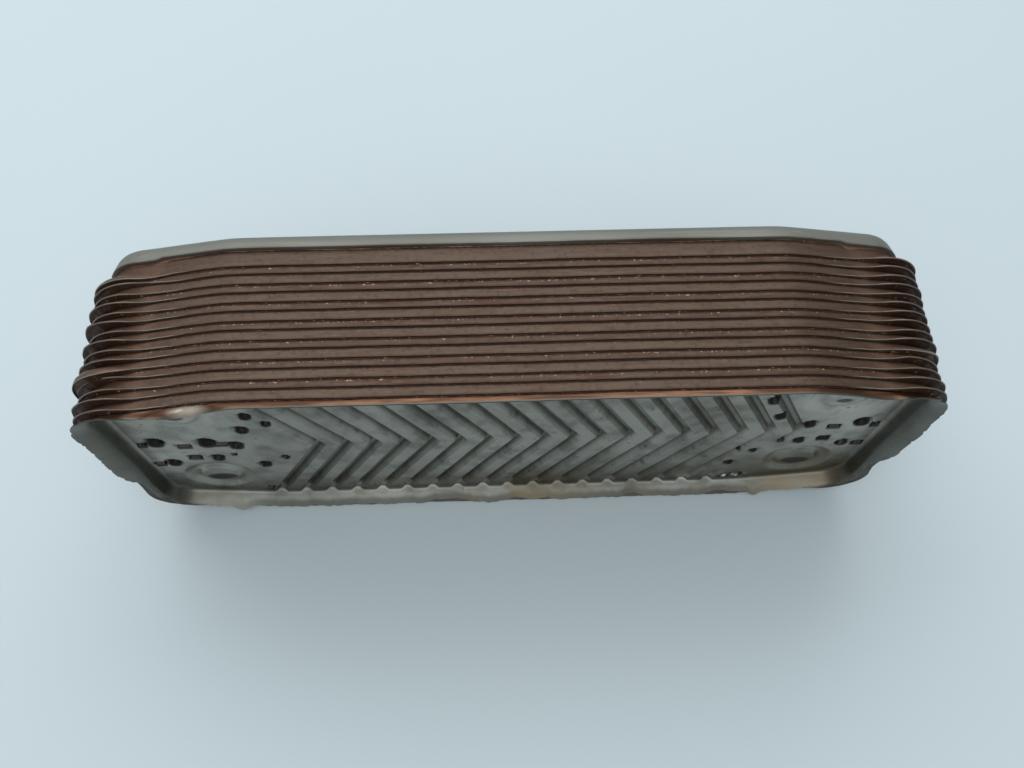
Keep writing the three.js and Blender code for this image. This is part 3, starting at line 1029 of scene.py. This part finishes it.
# Near black for the painted shade in the dimples and slots and the painted dark reflection on the
# unpierced ports' middles.
PAINTED_DARK = (0.012, 0.011, 0.010, 1.0)
STAIN = (0.165, 0.120, 0.060, 1.0)
BROWN = (0.079, 0.045, 0.029, 1.0)
BROWN_RED = (0.067, 0.031, 0.018, 1.0)
BROWN_GREY = (0.096, 0.064, 0.045, 1.0)
BROWN_END = (0.200, 0.115, 0.074, 1.0)
# Dark brown for the painted shade in the grooves and at the cut edges, and for dark specks.
GROOVE_SHADE_AND_SPECKS = (0.030, 0.015, 0.010, 1.0)
BRAZE_DARK = (0.045, 0.024, 0.015, 1.0)
COPPER = (0.185, 0.090, 0.050, 1.0)
COPPER_BRIGHT = (0.36, 0.26, 0.19, 1.0)
# Near white for the painted glint on the end tray's dent.
PAINTED_GLINT = (0.90, 0.76, 0.64, 1.0)
POLISHED_EDGE = (0.420, 0.395, 0.340, 1.0)
MOUNT_STEEL = (0.205, 0.208, 0.180, 1.0)
MOUNT_STEEL_DARK = (0.168, 0.170, 0.147, 1.0)
FLOOR_GREY = (0.535, 0.62, 0.65, 1.0)
FLOOR_PALE = (0.55, 0.635, 0.665, 1.0)


def skirt_streaks(n, seed):
    """Noise drawn out along the skirt, for copper that ran and dried in streaks."""
    run = n.math("MULTIPLY", n.attribute("run"), 0.05)
    tip = n.math("MULTIPLY", n.attribute("tip"), 0.55)
    vector = n.combine(run, tip, float(seed) * 3.7)
    return n.noise(vector, 3.0, 4.0), n.noise(vector, 0.9, 2.0)


def plate_material(plate):
    """Stainless sheet that the furnace left copper-brown outside, bare and stained inside."""
    n = Nodes(f"plate_{plate:02d}_steel")
    fine, broad = skirt_streaks(n, plate)
    place = n.place()
    grit = n.noise(place, 900.0, 3.0, 0.7)
    tip = n.attribute("tip")
    seen = n.attribute("seen")
    bare = n.attribute("bare")
    outside = n.ramp(n.attribute("outside"), 0.5, 0.9)

    even = plate % 2 == 0
    base = n.mix(n.ramp(fine, 0.35, 0.68), BROWN_RED if even else BROWN, BROWN_GREY)
    base = n.mix(n.ramp(broad, 0.42, 0.66), base, BROWN if even else BROWN_GREY)
    base = n.mix(n.math("MULTIPLY", bare, 0.6), base, BROWN_RED)
    base = n.mix(n.math("MULTIPLY", n.ramp(bare, 0.70, 1.0), 0.3), base, BROWN_END)
    base = n.mix(n.math("MULTIPLY", n.ramp(grit, 0.52, 0.70), 0.35), base, GROOVE_SHADE_AND_SPECKS)
    # Painted shade: the skirt is darkened just past the edge of the plate before it, where the
    # groove between the skirts lies in shade.
    groove = n.math("MULTIPLY", n.ramp(seen, 0.75, 0.12), 0.85)
    base = n.mix(groove, base, GROOVE_SHADE_AND_SPECKS)
    # Painted shade along the skirt's cut edge, away from the ends.
    rim_shade = n.math("MULTIPLY", n.ramp(tip, 0.55, 0.05), n.math("SUBTRACT", 1.0, bare))
    base = n.mix(n.math("MULTIPLY", rim_shade, 0.6), base, GROOVE_SHADE_AND_SPECKS)
    dots = n.ramp(n.noise(place, 1100.0, 2.0), 0.60, 0.68)
    foot = n.math("MULTIPLY", n.ramp(seen, 1.1, 0.5), 0.7)
    base = n.mix(n.math("MULTIPLY", foot, dots), base, GROOVE_SHADE_AND_SPECKS)
    specks = n.ramp(n.noise(place, 1700.0, 1.0), 0.64, 0.71)
    band = n.math("MULTIPLY", n.ramp(seen, 0.35, 0.6), n.ramp(seen, 1.0, 0.7))
    base = n.mix(n.math("MULTIPLY", band, specks), base, COPPER_BRIGHT if even else COPPER)

    stains = n.ramp(n.noise(place, 60.0, 4.0), 0.4, 0.7)
    inner = n.mix(stains, STEEL, STEEL_DARK)
    inner = n.mix(n.math("MULTIPLY", n.ramp(tip, 4.2, 1.8), 0.85), inner, BROWN_RED)
    colour = n.mix(outside, inner, base)
    if plate >= CHANNEL_PLATES - 1:
        colour = n.mix(n.math("MULTIPLY", n.attribute("low"), 0.85), colour, STEEL_DARK)
    corner = n.math("MULTIPLY", n.ramp(tip, 0.16, 0.04), n.ramp(n.attribute("outside"), 0.55, 0.85))
    edge = n.math("MULTIPLY", corner, n.ramp(bare, 0.15, 0.7))
    colour = n.mix(n.math("MULTIPLY", edge, 0.9), colour, POLISHED_EDGE)
    roughness = n.math("ADD", n.math("MULTIPLY", grit, 0.3), 0.34)
    n.bump(n.math("ADD", grit, fine), 0.55, 0.00009)
    return n.finish(colour, roughness, 0.65)


def end_plate_material():
    """Pressed stainless inside with water stains and darker valleys, copper out, painted shade in
    the dimples, slots, groove, walls and rims, and painted highlights on the fold and the dent.
    """
    n = Nodes("blind_end_plate_steel")
    fine, broad = skirt_streaks(n, 41)
    place = n.place()
    tip = n.attribute("tip")
    seen = n.attribute("seen")
    level = n.attribute("level")
    outside = n.ramp(n.attribute("outside"), 0.62, 0.9)
    cloud = n.noise(place, 38.0, 5.0, 0.62)
    patch = n.noise(place, 17.0, 3.0)
    drawn = n.noise(n.scaled(place, (240.0, 240.0, 900.0)), 1.0, 3.0)
    grit = n.noise(place, 1300.0, 2.0)

    steel = n.mix(n.ramp(cloud, 0.34, 0.7), STEEL_LIGHT, STEEL)
    steel = n.mix(n.math("MULTIPLY", n.ramp(level, 0.80, 0.1), 0.55), steel, STEEL_DARK)
    # Painted shade: the inner walls are darkened away from the floor, and at the ends the walls and
    # lips are darkened too; the wall colour is also a cooler grey.
    wall = n.math("MULTIPLY", n.ramp(tip, 6.5, 4.0), 0.68)
    steel = n.mix(wall, steel, STEEL_WALL_SHADE)
    steel = n.mix(n.math("MULTIPLY", n.attribute("bare"), 0.4), steel, STEEL_DARK)
    # Painted highlight: a light band along the bend from the floor into the wall.
    fold_highlight = n.math("MULTIPLY", n.ramp(tip, 8.6, 8.1), n.ramp(tip, 7.0, 7.6))
    steel = n.mix(n.math("MULTIPLY", fold_highlight, 0.75), steel, STEEL_FOLD_HIGHLIGHT)
    # Painted shade on the inner face near the cut edge, away from the ends.
    rim_shade = n.math("MULTIPLY", n.ramp(tip, 2.4, 0.8), n.math("SUBTRACT", 1.0, n.attribute("bare")))
    steel = n.mix(n.math("MULTIPLY", rim_shade, 0.8), steel, STEEL_RIM_SHADE)
    stained = n.math("MULTIPLY", n.ramp(patch, 0.52, 0.70), n.ramp(cloud, 0.42, 0.6))
    steel = n.mix(n.math("MULTIPLY", stained, 0.5), steel, STAIN)
    specks = n.ramp(n.noise(place, 420.0, 2.0), 0.67, 0.74)
    steel = n.mix(n.math("MULTIPLY", specks, 0.6), steel, STEEL_DARK)
    scuffs = n.ramp(n.noise(place, 150.0, 6.0, 0.65), 0.47, 0.64)
    steel = n.mix(n.math("MULTIPLY", scuffs, 0.40), steel, STEEL_DARK)

    # Painted shade in the dimples and slots, and a painted dark reflection on the unpierced ports'
    # middles.
    soot = n.attribute("soot")
    steel = n.mix(n.math("MULTIPLY", n.ramp(soot, 0.1, 0.8), 0.95), steel, PAINTED_DARK)

    copper = n.mix(n.ramp(fine, 0.35, 0.7), COPPER, BROWN)
    copper = n.mix(n.ramp(broad, 0.45, 0.65), copper, BROWN_RED)
    copper = n.mix(n.ramp(tip, 0.5, 0.1), copper, STEEL_DARK)
    # Painted shade in the groove just past the edge of the plate before it.
    copper = n.mix(n.ramp(seen, 0.5, 0.1), copper, GROOVE_SHADE_AND_SPECKS)
    copper = n.mix(n.math("MULTIPLY", n.attribute("low"), 0.85), copper, STEEL_DARK)
    colour = n.mix(outside, steel, copper)
    # Painted highlight: a bright glint painted on the dent near the edge, whose finish is also made
    # smoother.
    polish = n.math("MULTIPLY", n.attribute("polish"), n.ramp(tip, 2.2, 0.4))
    colour = n.mix(polish, colour, PAINTED_GLINT)
    roughness = n.math("ADD", n.math("MULTIPLY", cloud, 0.34), 0.12)
    roughness = n.math("ADD", roughness, n.math("MULTIPLY", grit, 0.08))
    roughness = n.math("SUBTRACT", roughness, n.math("MULTIPLY", polish, 0.22))
    n.bump(n.math("ADD", n.math("MULTIPLY", drawn, 0.4), grit), 0.3, 0.00006)
    return n.finish(colour, roughness, 0.88)


def mounting_material():
    """Smooth satin stainless, with a brown bloom along the brazed edge and faint drawing lines."""
    n = Nodes("mounting_plate_steel")
    place = n.place()
    tip = n.attribute("tip")
    cloud = n.noise(place, 26.0, 4.0)
    drawn = n.noise(n.scaled(place, (30.0, 900.0, 900.0)), 1.0, 3.0)
    grit = n.noise(place, 1500.0, 2.0)
    steel = n.mix(n.ramp(cloud, 0.32, 0.7), MOUNT_STEEL, MOUNT_STEEL_DARK)
    steel = n.mix(n.math("MULTIPLY", n.ramp(drawn, 0.5, 0.75), 0.2), steel, STEEL_LIGHT)
    bloom = n.math("MULTIPLY", n.ramp(tip, 0.9, 0.05), n.ramp(cloud, 0.3, 0.6))
    steel = n.mix(n.math("MULTIPLY", bloom, 0.7), steel, BROWN_RED)
    dots = n.ramp(n.noise(place, 330.0, 2.0), 0.71, 0.77)
    steel = n.mix(n.math("MULTIPLY", dots, 0.5), steel, STAIN)
    roughness = n.math("ADD", n.math("MULTIPLY", cloud, 0.16), 0.46)
    n.bump(n.math("ADD", n.math("MULTIPLY", drawn, 0.6), grit), 0.2, 0.00004)
    return n.finish(steel, roughness, 0.7)


def copper_material(name, deep, spots, grey_below=False):
    """Solidified braze: oxidised brown copper with bright beads."""
    n = Nodes(name)
    place = n.place()
    cloud = n.noise(place, 130.0, 4.0)
    grain = n.noise(place, 1100.0, 2.0)
    beads = n.ramp(grain, 0.62, 0.72)
    base = n.mix(n.ramp(cloud, 0.35, 0.68), deep, BROWN_RED)
    base = n.mix(n.math("MULTIPLY", beads, 0.8), base, spots)
    if grey_below:
        base = n.mix(n.math("MULTIPLY", n.attribute("low"), 0.85), base, STEEL_DARK)
    roughness = n.math("ADD", n.math("MULTIPLY", cloud, 0.3), 0.42)
    n.bump(grain, 0.5, 0.0001)
    return n.finish(base, roughness, 0.6)


def floor_material():
    n = Nodes("pale_floor")
    place = n.place()
    tone = n.noise(place, 3.0, 2.0)
    colour = n.mix(n.ramp(tone, 0.3, 0.7), FLOOR_GREY, FLOOR_PALE)
    return n.finish(colour, 0.75, 0.0)


# ---- studio ----

# The camera that took the photo, recovered by a fit to the object's own edges. The focal length
# is in picture widths.
CAMERA_PLACE = Vector((-4.755, -95.40, 239.02))
CAMERA_YAW = math.radians(3.239)
CAMERA_DOWN = math.radians(65.018)
CAMERA_ROLL = math.radians(1.42)
FOCAL_WIDTHS = 0.874677
SENSOR = 36.0
DAYLIGHT = (0.97, 0.99, 1.0)
FLOOR_HALF = 1.6
FLOOR_GAP = 0.05 * MM


def add_camera():
    data = bpy.data.cameras.new("camera")
    data.sensor_width = SENSOR
    data.lens = SENSOR * FOCAL_WIDTHS
    data.clip_start = 0.005
    forward = Vector(
        (
            math.sin(CAMERA_YAW) * math.cos(CAMERA_DOWN),
            math.cos(CAMERA_YAW) * math.cos(CAMERA_DOWN),
            -math.sin(CAMERA_DOWN),
        )
    )
    level_right = Vector((math.cos(CAMERA_YAW), -math.sin(CAMERA_YAW), 0.0))
    level_up = level_right.cross(forward)
    right = level_right * math.cos(CAMERA_ROLL) + level_up * math.sin(CAMERA_ROLL)
    up = level_up * math.cos(CAMERA_ROLL) - level_right * math.sin(CAMERA_ROLL)
    turn = Matrix((right, up, -forward)).transposed().to_4x4()
    camera = bpy.data.objects.new("camera", data)
    camera.matrix_world = Matrix.Translation(CAMERA_PLACE * MM) @ turn
    bpy.context.scene.collection.objects.link(camera)
    bpy.context.scene.camera = camera


def add_light(name, place, target, size, power, colour):
    data = bpy.data.lights.new(name, "AREA")
    data.shape = "RECTANGLE"
    data.size, data.size_y = size
    data.energy = power
    data.color = colour
    light = bpy.data.objects.new(name, data)
    direction = Vector(target) - Vector(place)
    light.matrix_world = Matrix.Translation(place) @ direction.to_track_quat(
        "-Z", "Y"
    ).to_matrix().to_4x4()
    bpy.context.scene.collection.objects.link(light)


def add_world():
    """A soft sky, bright overhead and behind the object and dim near the horizon in front."""
    world = bpy.data.worlds.new("studio")
    world.use_nodes = True
    tree = world.node_tree
    background = tree.nodes["Background"]
    direction = tree.nodes.new("ShaderNodeTexCoord").outputs["Generated"]
    height = tree.nodes.new("ShaderNodeVectorMath")
    height.operation = "DOT_PRODUCT"
    height.inputs[1].default_value = (-0.10, 0.10, 1.0)
    tree.links.new(direction, height.inputs[0])
    ramp = tree.nodes.new("ShaderNodeValToRGB")
    ramp.color_ramp.elements[0].position = 0.05
    ramp.color_ramp.elements[0].color = (0.20, 0.21, 0.22, 1.0)
    ramp.color_ramp.elements[1].position = 0.9
    ramp.color_ramp.elements[1].color = (0.92, 0.97, 1.0, 1.0)
    tree.links.new(height.outputs["Value"], ramp.inputs["Fac"])
    tree.links.new(ramp.outputs["Color"], background.inputs["Color"])
    background.inputs["Strength"].default_value = 0.70
    bpy.context.scene.world = world


def add_studio():
    add_world()
    add_light("ceiling", (-0.15, 0.70, 0.75), (0, 0.1, 0), (1.6, 0.9), 8.2, DAYLIGHT)
    add_light("front", (-0.05, -0.50, 0.90), (0, 0, 0), (1.2, 0.7), 3.4, DAYLIGHT)
    mesh = bpy.data.meshes.new("floor")
    signs = ((-1, -1), (1, -1), (1, 1), (-1, 1))
    corners = [(a * FLOOR_HALF, b * FLOOR_HALF, 0) for a, b in signs]
    mesh.from_pydata(corners, [], [(0, 1, 2, 3)])
    mesh.materials.append(floor_material())
    floor = bpy.data.objects.new("floor", mesh)
    floor.location.z = LOW.z - FLOOR_GAP
    bpy.context.scene.collection.objects.link(floor)
    bpy.context.scene.view_settings.view_transform = "Standard"


# ---- assembly ----

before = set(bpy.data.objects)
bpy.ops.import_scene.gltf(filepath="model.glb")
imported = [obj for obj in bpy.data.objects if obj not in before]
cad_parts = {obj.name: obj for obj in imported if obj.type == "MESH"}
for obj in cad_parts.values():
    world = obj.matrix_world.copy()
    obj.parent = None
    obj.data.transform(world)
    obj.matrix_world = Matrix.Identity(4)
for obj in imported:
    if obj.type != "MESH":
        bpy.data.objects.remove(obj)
CAD_BOX = [list(corner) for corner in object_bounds()]
LOW, HIGH = (Vector(corner) for corner in CAD_BOX)
MIDDLE_Z = (LOW.z + HIGH.z) / 2 / MM

skirt_outline = Outline(18, 22, 12, 44)
end_outline = Outline(26, 72, 12, 104)

for number in range(1, CHANNEL_PLATES + 1):
    node = f"channel_plate_{number:02d}"
    tray(
        f"pressed_plate_{number:02d}",
        node,
        number,
        skirt_outline,
        (2, 2),
        plate_material(number),
        0.0,
    )
tray("end_tray", "blind_end_plate", END_TRAY, end_outline, (1, 2), end_plate_material(), 0.5)
mounting_plate(skirt_outline, mounting_material())

seam_outline = Outline(40, 44, 20, 120)
plain_seam = copper_material("braze_plain", BRAZE_DARK, COPPER)
beaded_seam = copper_material("braze_beaded", BROWN_RED, COPPER_BRIGHT)
last_seam = copper_material("braze_last", BROWN_RED, COPPER_BRIGHT, True)
mounting_seam = copper_material("braze_mounting", BROWN_END, COPPER_BRIGHT)
seam("mounting_bead", "mounting_plate_seam", 0, seam_outline, mounting_seam)
for number in range(1, CHANNEL_PLATES + 1):
    braze = beaded_seam if number % 2 == 1 else plain_seam
    if number == CHANNEL_PLATES:
        braze = last_seam
    seam(f"braze_bead_{number:02d}", f"braze_seam_{number:02d}", number, seam_outline, braze)

add_studio()
add_camera()
